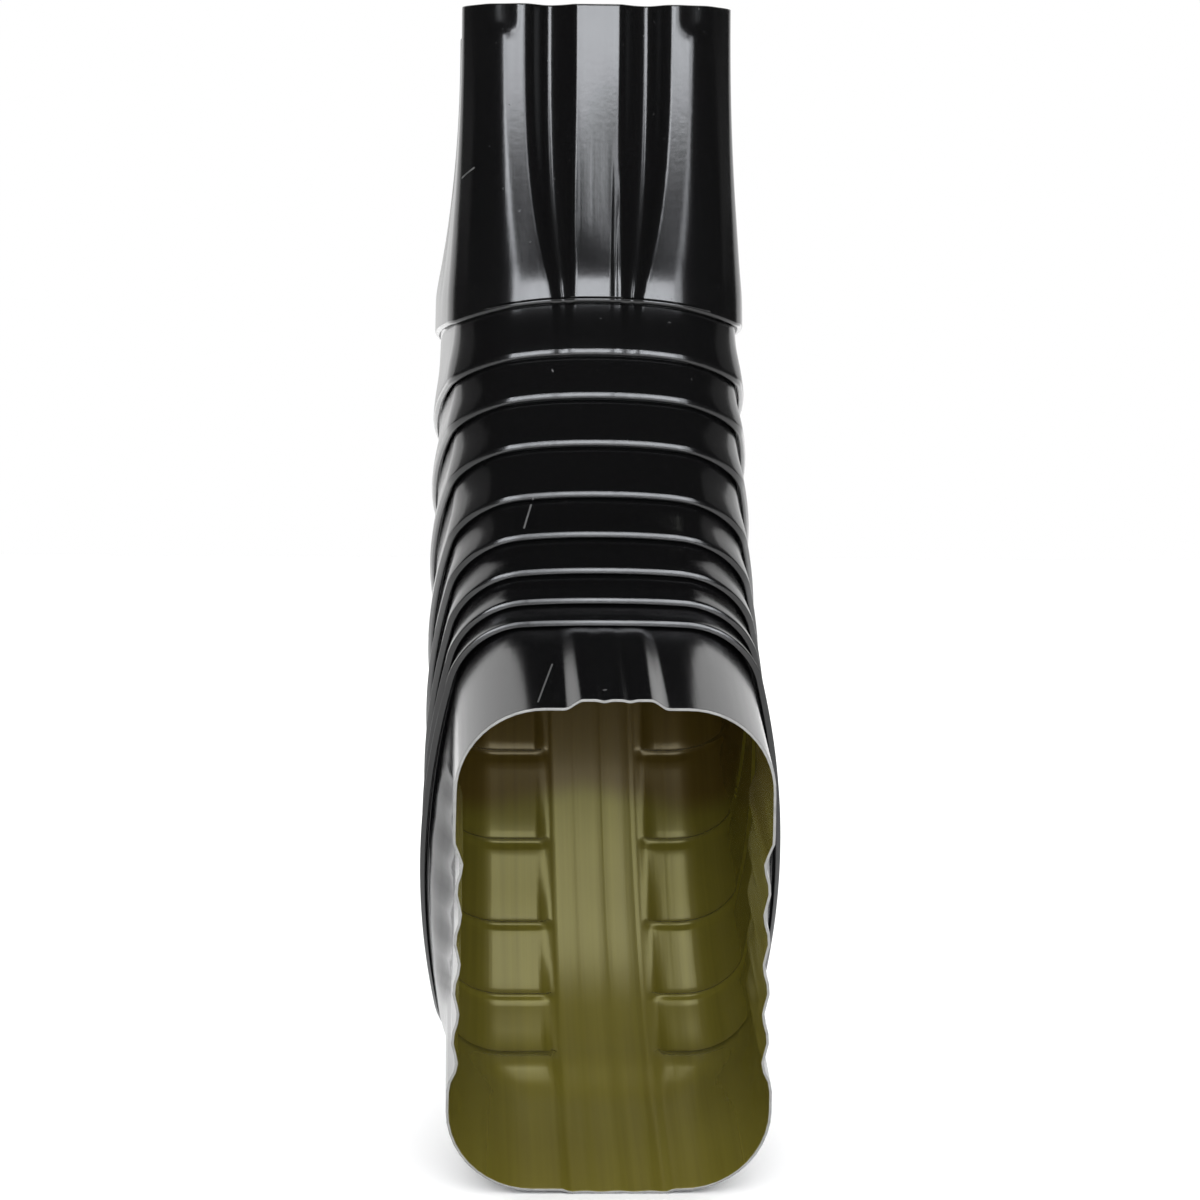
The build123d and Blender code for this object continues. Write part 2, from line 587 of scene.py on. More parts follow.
    @staticmethod
    def _crested(share: float, crest: float) -> float:
        """A share that slows to a stop from the crest's start, and still ends at 1.

        Args:
            share: an even share.
            crest: the share where the crest starts.

        Returns:
            The slowing share.
        """
        after = max(0.0, share - crest) / (1 - crest)
        reached = min(share, crest) + (1 - crest) * (after - after * after / 2)
        return reached / (crest + (1 - crest) / 2)

    def _risen(self, row: Station, base: Station, lip: Station, rise: float, depth: float) -> Station:
        """A row between a plain base and a lip, at its own share of the rise."""
        outs = {name: mix(getattr(base, name), getattr(lip, name) - depth, rise) for name in OUTS}
        return replace(row, **outs)

    def _upright(self, depth: float) -> list[Station]:
        """The crimped end, from its edge to the first lip.

        Args:
            depth: how deep in the sheet the face lies.

        Returns:
            Its stations.
        """
        crimp, lines, lip = self.crimp, self.steps, self._lip(0)
        length = self.bend.upright_length
        start = Station(
            throat_along=self.edge_round - length,
            heel_along=self.edge_round - length,
            throat_width=crimp.width,
            heel_width=crimp.width,
            side=crimp.side,
            corner=crimp.corner,
            heel_band=0.0,
            seam=0.0,
        ).sunk(depth)
        turned = (length - crimp.turn_length) / length
        shares = [place / length for place in lines.rim_places]
        shares += [share for share in steps(lines.upright, lines.upright_power) if share > shares[-1]]
        return [self._crimped(start, lip, share, turned, depth) for share in shares]

    def _crimped(self, start: Station, lip: Station, share: float, turned: float, depth: float) -> Station:
        """The crimped end at a share of its length.

        Args:
            start: its edge, at this depth.
            lip: the first lip, on the painted face.
            share: the share of its length.
            turned: the share from which it follows the bend.
            depth: how deep in the sheet the line lies.

        Returns:
            The line's station.
        """
        crimp = self.crimp
        rise = self._crested(share, crimp.crest) ** crimp.flare_power
        row = start.towards(lip, rise)
        place = share * self.bend.upright_length
        after = max(0.0, (share - turned) / (1 - turned))
        along = mix(start.throat_along, 0.0, min(1.0, share / turned))
        along = mix(along, lip.throat_along, after)
        late = share**crimp.groove_power
        row = replace(
            row,
            angle=lip.angle * after,
            throat_along=along,
            heel_along=along,
            flute=crimp.flute * (1 - share * share),
            groove=crimp.groove * (1 - crimp.groove_fade * late),
            groove_width=crimp.groove_width * (1 - crimp.groove_narrowing * late),
            dent=crimp.dent * (1 - eased(share / crimp.dent_end)),
            twist=crimp.twist * begun(share, crimp.twist_in) * (1 - begun(share, crimp.twist_out)),
            nick=crimp.nick * eased((crimp.nick_end - place) / (crimp.nick_end - crimp.nick_start)),
            sag=lip.sag * begun(share, crimp.sag_in),
            seam=crimp.seam * begun(share, crimp.seam_in),
            heel_band=lip.heel_band * begun(share, crimp.band_in),
        )
        return self._risen(row, start, lip, rise, depth)

    def _ring(self, root: Station, pleat: int, depth: float) -> list[Station]:
        """The ring from the last fold's root to the next lip.

        Args:
            root: the fold's root, at this depth.
            pleat: the lip's number.
            depth: how deep in the sheet the face lies.

        Returns:
            Its stations.
        """
        size, lines, lip = self.pleat, self.steps, self._lip(pleat)
        shares = list(steps(lines.ring_inside if depth else lines.ring, lines.ring_power))
        if depth:
            near = [size.bead_share * share for share in steps(lines.bead)]
            shares = near + [share for share in shares if share > near[-1]]
        rows = []
        for share in shares:
            rise = self._flared(share, size.body_share, size.flare_start)
            row = self._risen(root.towards(lip, share), root, lip, rise, depth)
            rows.append(self._beaded(row, share / size.bead_share) if depth else row)
        return rows

    def _beaded(self, row: Station, share: float) -> Station:
        """The row on the rounded bead that a fold leaves inside.

        Args:
            row: the row without the bead.
            share: its share of the way across the bead, which is gone again at 1.

        Returns:
            The row with the bead.
        """
        crest = self.pleat.bead_crest
        height = eased(share / crest) if share < crest else eased((1 - share) / (1 - crest))
        bead = self.pleat.bead * height
        return replace(
            row,
            throat_out=row.throat_out - bead,
            side_out=row.side_out - self.pleat.side_bead * bead,
            heel_out=row.heel_out - bead,
        )

    def _outer_fold(self, pleat: int) -> list[Station]:
        """The painted roll of a lip and the crevice behind it, to the fold's root.

        Args:
            pleat: the lip's number.

        Returns:
            Its stations.
        """
        size, lip = self.pleat, self._lip(pleat)
        rows = []
        for along, fallen in self._roll(pleat)[1:]:
            outs = [mix(rise, rim, fallen) for rim, rise in zip(size.rims, size.rises)]
            heel_along = mix(-size.heel_roll, size.heel_step / 2, fallen)
            row = replace(lip, throat_along=along, heel_along=heel_along)
            rows.append(replace(row, throat_out=outs[0], side_out=outs[1], heel_out=outs[2]))
        root = self._root(lip, 0.0)
        return rows + [rows[-1].towards(root, share) for share in steps(self.steps.crevice)]

    def _root(self, lip: Station, depth: float) -> Station:
        """Where the next ring starts, behind a lip."""
        place = {"throat_along": -self.pleat.fold, "heel_along": self.pleat.heel_step - depth / 2}
        return replace(lip, **place, **dict.fromkeys(OUTS, -depth))

    def _inner_fold(self, pleat: int) -> list[Station]:
        """The primed crevice inside a lip and the rounded nose of the fold, to its root.

        Args:
            pleat: the lip's number.

        Returns:
            Its stations.
        """
        size, lip = self.pleat, self._lip(pleat)
        depth = self.sheet
        tip = lip.sunk(depth)
        turn = replace(
            tip,
            throat_along=-size.fold,
            heel_along=(size.heel_step - depth) / 2,
            throat_out=depth,
            side_out=depth,
            heel_out=depth / 2,
        )
        root = self._root(lip, depth)
        rows = [tip.towards(turn, share) for share in steps(self.steps.crevice)]
        for share in steps(self.steps.turn_inside):
            row = turn.towards(self._beaded(root, 0.0), (1 - cos(share * pi)) / 2)
            rows.append(replace(row, throat_along=-size.fold - depth * sin(share * pi)))
        return rows

    def _collar(self, root: Station, depth: float) -> list[Station]:
        """The collar, from the last fold's root to the mouth.

        Args:
            root: the fold's root, at this depth.
            depth: how deep in the sheet the face lies.

        Returns:
            Its stations.
        """
        collar, lines = self.collar, self.steps
        plain = Station(
            angle=radians(self.bend.angle),
            throat_along=collar.blend,
            heel_along=collar.blend,
            throat_width=collar.throat_width,
            heel_width=collar.heel_width,
            side=collar.side,
            corner=collar.corner,
            flute=collar.flute,
            throat_band=collar.band,
        ).sunk(depth)
        rows = []
        for share in steps(lines.collar_blend):
            straight = root.towards(plain, share)
            formed = root.towards(plain, eased(share))
            row = replace(
                formed,
                angle=straight.angle,
                throat_along=straight.throat_along,
                heel_along=straight.heel_along,
            )
            rows.append(self._beaded(row, share / collar.bead_share) if depth else row)
        length = collar.length - collar.blend
        mouth = self._moved(plain, length - self.edge_round, 0.0)
        shares = sorted([*steps(lines.collar, lines.collar_power), 1 - lines.mouth_gap / length])
        return rows + [plain.towards(mouth, share) for share in shares]


@dataclass(frozen=True)
class Division:
    """The steps round half the outline, and the share of them at which each of its pieces ends."""

    steps: int = 100
    throat: float = 0.28
    throat_corner: float = 0.42
    side: float = 0.74
    heel_corner: float = 0.85


@dataclass(frozen=True)
class Spot:
    """Where a point lies on the plain outline, as values of the tree.

    The throat, wide and heel shares and the two turns are how far it has come through each piece
    of half the outline. The halves are of the flat walls. Bent is a corner's whole turn, lean is
    the way that the point faces, and x and y are its place across and towards the throat. The
    hand is 1 on the right half and -1 on the left.
    """

    hand: Value
    throat: Value
    turn_in: Value
    wide: Value
    turn_out: Value
    heel: Value
    throat_half: Value
    wall_half: Value
    heel_half: Value
    corner: Value
    bent: Value
    lean: Value
    x: Value
    y: Value

    def from_throat(self) -> Value:
        """Way along the narrow wall from the middle of the throat."""
        return self.throat * self.throat_half

    def round_throat(self) -> Value:
        """The same, and on round the corner."""
        return self.from_throat() + self.corner * (self.turn_in * self.bent)

    def from_middle(self) -> Value:
        """Way along the wide wall from its middle."""
        return self.wall_half * (2.0 * self.wide - 1.0)

    def from_heel(self) -> Value:
        """Way along the narrow wall from the middle of the heel."""
        return self.heel_half * (1.0 - self.heel)


@dataclass(frozen=True)
class SheetTree:
    """Node tree that lays a line round the pipe at each station.

    Its number fields, and three of the bend's, are the tree's named inputs. Lengths are in
    millimetres, and a count, share, dip or power is a plain number.
    """

    division: Division = field(default_factory=Division)
    bend: Bend = field(default_factory=Bend)
    flute_count: float = 5.0
    flute_pitch: float = 9.4
    flute_shift: float = 2.2
    flute_ease: float = 0.5
    wave_share: float = 0.6
    groove_place: float = 4.6
    band_half: float = 5.7
    band_edge: float = 3.3
    band_dip: float = 0.16
    dip_place: float = 2.2
    dip_width: float = 3.0
    nick_place: float = 18.8
    nick_width: float = 7.0
    twist_half: float = 3.2
    heel_half: float = 10.0
    heel_edge: float = 1.6
    heel_shift: float = 2.0
    rib_share: float = 0.18
    rib_pitch: float = 5.8
    rib_phase: float = -1.4
    seam_place: float = 3.5
    seam_width: float = 1.3
    sag_power: float = 2.3
    tube_radius: float = 42.0

    def inputs(self) -> dict[str, float]:
        """The tree's number inputs, each named after its field.

        Returns:
            Their values by name.
        """
        shared = ("throat_radius", "ring_side", "upright_length")
        sizes = {name: getattr(self.bend, name) for name in shared}
        sizes |= {f.name: getattr(self, f.name) for f in fields(self) if f.type is float}
        return {name.replace("_", " ").capitalize(): size for name, size in sizes.items()}

    def build(
        self, finishes: dict[Side, bpy.types.Material]
    ) -> tuple[bpy.types.NodeTree, dict[str, object]]:
        """Makes the tree.

        Args:
            finishes: the material of each face of the sheet.

        Returns:
            The tree, and the value of each input by its identifier.
        """
        tree = bpy.data.node_groups.new("sheet", "GeometryNodeTree")
        graph = Graph(tree)
        face = tree.interface
        face.new_socket("Geometry", in_out="INPUT", socket_type="NodeSocketGeometry")
        face.new_socket("Geometry", in_out="OUTPUT", socket_type="NodeSocketGeometry")
        values: dict[str, object] = {}
        for name, size in self.inputs().items():
            socket = face.new_socket(name, in_out="INPUT", socket_type="NodeSocketFloat")
            values[socket.identifier] = size
        for side, material in finishes.items():
            name = side.name.capitalize()
            socket = face.new_socket(name, in_out="INPUT", socket_type="NodeSocketMaterial")
            values[socket.identifier] = material
        source = graph.add("NodeGroupInput")
        mesh = self._lay(graph, source)
        self._finish(graph, source, mesh)
        return tree, values

    def _lay(self, graph: Graph, source: bpy.types.Node) -> bpy.types.NodeSocket:
        """Lays the grid on the stations and gives it its place.

        Args:
            graph: the tree.
            source: the node that holds the tree's inputs.

        Returns:
            The laid mesh.
        """
        half = self.division.steps
        stations = source.outputs["Geometry"]
        count = graph.add("GeometryNodeAttributeDomainSize", values={"Geometry": stations})
        rows = count.outputs["Point Count"]
        divided = {"Vertices X": 2 * half + 1, "Vertices Y": rows}
        grid = graph.add("GeometryNodeMeshGrid", values=divided)
        index = graph.value(graph.add("GeometryNodeInputIndex"))
        row = graph.math("MODULO", index, Value(graph, rows))
        column = graph.math("FLOOR", (index + 0.5) / Value(graph, rows))

        def sample(name: str) -> Value:
            """A station's own number, at every point of its line.

            Args:
                name: which of its numbers.

            Returns:
                The number.
            """
            named = graph.add("GeometryNodeInputNamedAttribute", {"data_type": "FLOAT"}, {"Name": name})
            node = graph.add(
                "GeometryNodeSampleIndex",
                {"data_type": "FLOAT", "domain": "POINT"},
                {"Geometry": stations, "Value": named.outputs["Attribute"], "Index": row},
            )
            return graph.value(node)

        size = {name: Value(graph, source.outputs[name]) for name in self.inputs()}
        names = [f.name for f in fields(Station)] + ["bow"]
        place, pattern, face = self._place(graph, column, {name: sample(name) for name in names}, size)
        mesh = grid.outputs["Mesh"]
        for name, kind, value in ((PATTERN, "FLOAT_VECTOR", pattern), ("face", "FLOAT", face)):
            store = graph.add(
                "GeometryNodeStoreNamedAttribute",
                {"data_type": kind, "domain": "POINT"},
                {"Geometry": mesh, "Name": name, "Value": value},
            )
            mesh = store.outputs["Geometry"]
        moved = graph.add("GeometryNodeSetPosition", values={"Geometry": mesh, "Position": place})
        return moved.outputs["Geometry"]

    def _place(
        self, graph: Graph, column: Value, at: dict[str, Value], size: dict[str, Value]
    ) -> tuple[bpy.types.NodeSocket, bpy.types.NodeSocket, Value]:
        """Works out where each point lies.

        Args:
            graph: the tree.
            column: number of the point's step round the outline, from the middle of the heel.
            at: the station's numbers.
            size: the tree's sizes.

        Returns:
            The place in metres, the place on the sheet as a plain tube in millimetres, and the face.
        """
        spot = self._outline(graph, column, at)
        out = self._relief(graph, spot, at, size)
        x = spot.x + out * graph.math("SINE", spot.lean)
        y = spot.y + out * graph.math("COSINE", spot.lean)
        share = y / size["Ring side"] + 0.5
        across = graph.math("MINIMUM", x / (at["throat_width"] * 0.5), 1.0)
        across = graph.math("MAXIMUM", across, 0.0)
        along = graph.blend(at["heel_along"], at["throat_along"], share)
        along = along + at["sag"] * across ** size["Sag power"] * graph.clamp(share)
        place = self._world(graph, (spot.hand * x, y, along), at, size)
        return place, self._tube(graph, spot, along, at, size), at["face"]

    def _outline(self, graph: Graph, column: Value, at: dict[str, Value]) -> Spot:
        """The plain outline: half a narrow wall, a corner, a bowed wide wall, a corner, half the heel.

        Args:
            graph: the tree.
            column: number of the point's step round the outline, from the middle of the heel.
            at: the station's numbers.

        Returns:
            Where the point lies.
        """
        cut = self.division
        turn = column / float(cut.steps) - 1.0
        half = graph.math("ABSOLUTE", turn)

        def part(start: float, end: float) -> Value:
            """Share of one piece of the outline."""
            return graph.clamp((half - start) / (end - start))

        throat = part(0.0, cut.throat)
        turn_in = part(cut.throat, cut.throat_corner)
        wide = part(cut.throat_corner, cut.side)
        turn_out = part(cut.side, cut.heel_corner)
        heel = part(cut.heel_corner, 1.0)
        bow, corner = at["bow"], at["corner"]
        sin_bow, cos_bow = graph.math("SINE", bow), graph.math("COSINE", bow)
        throat_half = at["throat_width"] * 0.5 - corner * cos_bow
        heel_half = at["heel_width"] * 0.5 - corner * cos_bow
        wall_half = (at["side"] * 0.5 - corner) + corner * sin_bow
        bent = pi / 2 - bow
        first = turn_in * bent
        second = turn_out * bent + (pi / 2 + bow)
        taper = (at["heel_width"] - at["throat_width"]) * 0.5
        x = throat * throat_half + corner * graph.math("SINE", first)
        x = x + at["bulge"] * arch(wide) + taper * wide
        x = x + corner * (graph.math("SINE", second) - cos_bow) - heel * heel_half
        y = at["side"] * 0.5 - corner * (1.0 - graph.math("COSINE", first)) - 2.0 * wall_half * wide
        y = y + corner * (graph.math("COSINE", second) + sin_bow)
        return Spot(
            hand=graph.math("SIGN", turn),
            throat=throat,
            turn_in=turn_in,
            wide=wide,
            turn_out=turn_out,
            heel=heel,
            throat_half=throat_half,
            wall_half=wall_half,
            heel_half=heel_half,
            corner=corner,
            bent=bent,
            lean=first + 2.0 * bow * wide + turn_out * bent,
            x=x,
            y=y,
        )

    def _relief(self, graph: Graph, spot: Spot, at: dict[str, Value], size: dict[str, Value]) -> Value:
        """What stands out from the plain outline, or is drawn in.

        Args:
            graph: the tree.
            spot: where the point lies.
            at: the station's numbers.
            size: the tree's sizes.

        Returns:
            The way out, which is negative where it is drawn in.
        """
        across_heel = spot.hand * spot.from_heel() - size["Heel shift"]
        from_band = graph.math("ABSOLUTE", across_heel)
        step = graph.clamp((from_band - size["Heel half"]) / size["Heel edge"])
        crown = at["side_out"] - 0.5 * (at["throat_out"] + at["heel_out"])
        out = graph.blend(at["throat_out"], at["heel_out"], spot.wide) + crown * arch(spot.wide)
        on_heel = graph.math("GREATER_THAN", spot.heel, 0.0)
        out = out + on_heel * (1.0 - graph.smooth(step)) * (at["band_out"] - at["heel_out"])
        on_throat = graph.math("LESS_THAN", spot.throat, 1.0)
        waves = on_throat * self._throat_waves(graph, spot.from_throat(), spot.hand, at, size)
        waves = waves + on_heel * self._groove(graph, spot.from_heel(), at, size)
        waves = waves + on_heel * self._heel_waves(graph, from_band, across_heel, at, size)
        out = out + waves - at["flute"] * self._flutes(graph, spot.from_middle(), spot.wide, size)
        nick = graph.ridge(spot.round_throat(), size["Nick place"], size["Nick width"])
        # A dent is as wide as its corner, and deepest halfway round it.
        dent = graph.ridge(spot.turn_in, 0.5, 1.0) + graph.ridge(spot.turn_out, 0.5, 1.0)
        return out - at["nick"] * nick - at["dent"] * dent

    @staticmethod
    def _world(
        graph: Graph, spot: tuple[Value, Value, Value], at: dict[str, Value], size: dict[str, Value]
    ) -> bpy.types.NodeSocket:
        """Takes a place on the pipe round the bend.

        Args:
            graph: the tree.
            spot: the place across, towards the throat and down the pipe from the line's plane.
            at: the station's numbers.
            size: the tree's sizes.

        Returns:
            The place, in metres.
        """
        x, y, along = spot
        radius = size["Throat radius"] + 0.5 * size["Ring side"] - y
        cos_turn = graph.math("COSINE", at["angle"])
        sin_turn = graph.math("SINE", at["angle"])
        centre_y = -0.5 * size["Ring side"] - size["Throat radius"]
        world_y = centre_y + cos_turn * radius - sin_turn * along
        world_z = -size["Upright length"] - sin_turn * radius - cos_turn * along
        world = {"X": x * METRE, "Y": world_y * METRE, "Z": world_z * METRE}
        return graph.add("ShaderNodeCombineXYZ", values=world).outputs[0]

    @staticmethod
    def _tube(
        graph: Graph, spot: Spot, along: Value, at: dict[str, Value], size: dict[str, Value]
    ) -> bpy.types.NodeSocket:
        """Lays the same point on a plain round tube, for patterns that run along the sheet.

        Args:
            graph: the tree.
            spot: where the point lies.
            along: how far down the pipe it lies from the line's plane.
            at: the station's numbers.
            size: the tree's sizes.

        Returns:
            The place on the tube, in millimetres.
        """
        way = spot.round_throat() + (spot.from_middle() + spot.wall_half)
        way = way + spot.corner * (spot.turn_out * spot.bent) + spot.heel_half * spot.heel
        whole = spot.throat_half + spot.heel_half + 2.0 * (spot.corner * spot.bent + spot.wall_half)
        around = spot.hand * way / whole * pi
        tube = {
            "X": size["Tube radius"] * graph.math("COSINE", around),
            "Y": size["Tube radius"] * graph.math("SINE", around),
            "Z": at["angle"] * (size["Throat radius"] + 0.5 * size["Ring side"]) + along,
        }
        return graph.add("ShaderNodeCombineXYZ", values=tube).outputs[0]

    @staticmethod
    def _groove(graph: Graph, place: Value, at: dict[str, Value], size: dict[str, Value]) -> Value:
        """Drawn-in groove with a sharp inner shoulder and a soft outer one.

        Args:
            graph: the tree.
            place: way from the middle of the narrow wall.
            at: the station's numbers.
            size: the tree's sizes.

        Returns:
            The way out, which is negative.
        """
        share = graph.clamp((place - size["Groove place"]) / at["groove_width"])
        wave = graph.math("SINE", share * pi)
        outer = graph.math("GREATER_THAN", share, 0.5)
        return -at["groove"] * graph.blend(wave, wave * wave, outer)

    def _throat_waves(
        self, graph: Graph, place: Value, hand: Value, at: dict[str, Value], size: dict[str, Value]
    ) -> Value:
        """Grooves, raised band and seam down the throat.

        Args:
            graph: the tree.
            place: way from the middle of the throat.
            hand: 1 on the right half and -1 on the left.
            at: the station's numbers.
            size: the tree's sizes.

        Returns:
            The way out.
        """
        band = graph.smooth((size["Band half"] + size["Band edge"] - place) / size["Band edge"])
        dips = graph.ridge(place, size["Dip place"], size["Dip width"])
        level_over = size["Groove place"] - size["Twist half"]
        level = 1.0 - graph.smooth((place - size["Twist half"]) / level_over)
        raised = at["throat_band"] * (band - size["Band dip"] * dips)
        seam = graph.ridge(hand * place, size["Seam place"], size["Seam width"])
        twisted = at["twist"] * hand * place * level
        return self._groove(graph, place, at, size) + raised + twisted - at["seam"] * seam

    @staticmethod
    def _heel_waves(
        graph: Graph, place: Value, across: Value, at: dict[str, Value], size: dict[str, Value]
    ) -> Value:
        """Raised band and fine ribs down the heel.

        Args:
            graph: the tree.
            place: way from the middle of the band, on either side.
            across: the same, negative on the left.
            at: the station's numbers.
            size: the tree's sizes.

        Returns:
            The way out.
        """
        band = graph.smooth((size["Heel half"] - place) / size["Heel edge"])
        ribs = graph.math("SINE", across * (2 * pi) / size["Rib pitch"] + size["Rib phase"])
        return at["heel_band"] * (band + ribs * size["Rib share"] * band)

    @staticmethod
    def _flutes(graph: Graph, place: Value, wide: Value, size: dict[str, Value]) -> Value:
        """Row of flutes down a wide wall, one deep.

        Args:
            graph: the tree.
            place: way from the middle of the wide wall.
            wide: share of the wide wall.
            size: the tree's sizes.

        Returns:
            The way in.
        """
        turns = (place - size["Flute shift"]) / size["Flute pitch"]
        count_half = size["Flute count"] * 0.5
        phase = graph.math("ABSOLUTE", turns)
        inside = graph.math("LESS_THAN", phase, count_half)
        wave = 0.5 + 0.5 * graph.math("COSINE", (turns + count_half - 0.5) * (2 * pi))
        drawn_in = graph.smooth((count_half - phase) / size["Flute ease"])
        ripple = graph.blend(drawn_in, wave, size["Wave share"])
        return inside * ripple * graph.math("GREATER_THAN", wide * (1.0 - wide), 0.0)

    def _finish(self, graph: Graph, source: bpy.types.Node, mesh: bpy.types.NodeSocket) -> None:
        """Closes the skin, turns its faces outwards and gives each its finish.

        Args:
            graph: the tree.
            source: the node that holds the tree's inputs.
            mesh: the laid mesh.
        """
        merged = {"Geometry": mesh, "Distance": SAME_PLACE}
        closed = graph.add("GeometryNodeMergeByDistance", values=merged)
        turned = graph.add("GeometryNodeFlipFaces", values={"Mesh": closed.outputs["Geometry"]})
        smooth = graph.add("GeometryNodeSetShadeSmooth", values={"Geometry": turned.outputs["Mesh"]})
        real = graph.add("GeometryNodeRealizeInstances", values={"Geometry": smooth.outputs["Geometry"]})
        out = real.outputs["Geometry"]
        named = graph.add("GeometryNodeInputNamedAttribute", {"data_type": "FLOAT"}, {"Name": "face"})
        face = graph.value(named, "Attribute")
        for side in Side:
            low, high = side.value - FACE_REACH, side.value + FACE_REACH
            chosen = graph.math("GREATER_THAN", face, low) * graph.math("LESS_THAN", face, high)
            values = {
                "Geometry": out,
                "Selection": chosen,
                "Material": source.outputs[side.name.capitalize()],
            }
            out = graph.add("GeometryNodeSetMaterial", values=values).outputs["Geometry"]
        graph.add("NodeGroupOutput", values={"Geometry": out})


@dataclass(frozen=True)
class Scratch:
    """A hairline scratch between two places, in millimetres."""

    start: tuple[float, float, float]
    end: tuple[float, float, float]
    width: float


@dataclass(frozen=True)
class Finish:
    """What every finish on the sheet shares."""

    name: str

    def material(self) -> tuple[bpy.types.Material, Graph]:
        """A material with an empty tree.

        Returns:
            The material, and its tree.
        """
        material = bpy.data.materials.new(self.name)
        material.use_nodes = True
        return material, Graph(material.node_tree)

    @staticmethod
    def noise(graph: Graph, where: Value, scale: float, detail: float) -> Value:
        """Even noise between 0 and 1."""
        values = {"Vector": where, "Scale": scale, "Detail": detail}
        return graph.value(graph.add("ShaderNodeTexNoise", values=values), "Fac")

    @staticmethod
    def object_place(graph: Graph) -> Value:
        """Place in the object, in metres."""
        return graph.value(graph.add("ShaderNodeTexCoord"), "Object")

    @staticmethod
    def sheet_place(graph: Graph, scale: tuple[float, float, float]) -> Value:
        """Place on the sheet as a plain tube along Z, in millimetres times a scale.

        Args:
            graph: the tree.
            scale: the scale in each direction.

        Returns:
            The place.
        """
        place = graph.add("ShaderNodeAttribute", {"attribute_name": PATTERN})
        node = graph.add("ShaderNodeMapping", values={"Vector": place.outputs["Vector"], "Scale": scale})
        return graph.value(node)

    @staticmethod
    def colour(graph: Graph, share: Value, first: Tint, second: Tint) -> Value:
        """From one colour to another by a share.

        Args:
            graph: the tree.
            share: how much of the second.
            first: a plain colour, or one that varies.
            second: a plain colour, or one that varies.

        Returns:
            The mixed colour.
        """
        values = {0: share}
        for socket, end in ((FIRST_COLOUR, first), (SECOND_COLOUR, second)):
            values[socket] = end if isinstance(end, Value) else (*end, 1.0)
        node = graph.add("ShaderNodeMix", {"data_type": "RGBA"}, values)
        return graph.value(node, MIXED_COLOUR)

    @staticmethod
    def relief(
        graph: Graph, height: Value, bump: tuple[float, float], under: Value | None = None
    ) -> Value:
        """A surface with a fine relief.

        Args:
            graph: the tree.
            height: the relief's height, between 0 and 1.
            bump: its strength, and how high 1 stands, in metres.
            under: the surface it lies on, where that has a relief of its own.

        Returns:
            The surface's normal.
        """
        values = {"Strength": bump[0], "Distance": bump[1], "Height": height}
        if under is not None:
            values["Normal"] = under
        return graph.value(graph.add("ShaderNodeBump", values=values), "Normal")

    @staticmethod
    def close(graph: Graph, values: dict[str, object]) -> None:
        """Ends the tree in one shader."""
        shader = graph.add("ShaderNodeBsdfPrincipled", values=values)
        graph.add("ShaderNodeOutputMaterial", values={"Surface": shader.outputs["BSDF"]})


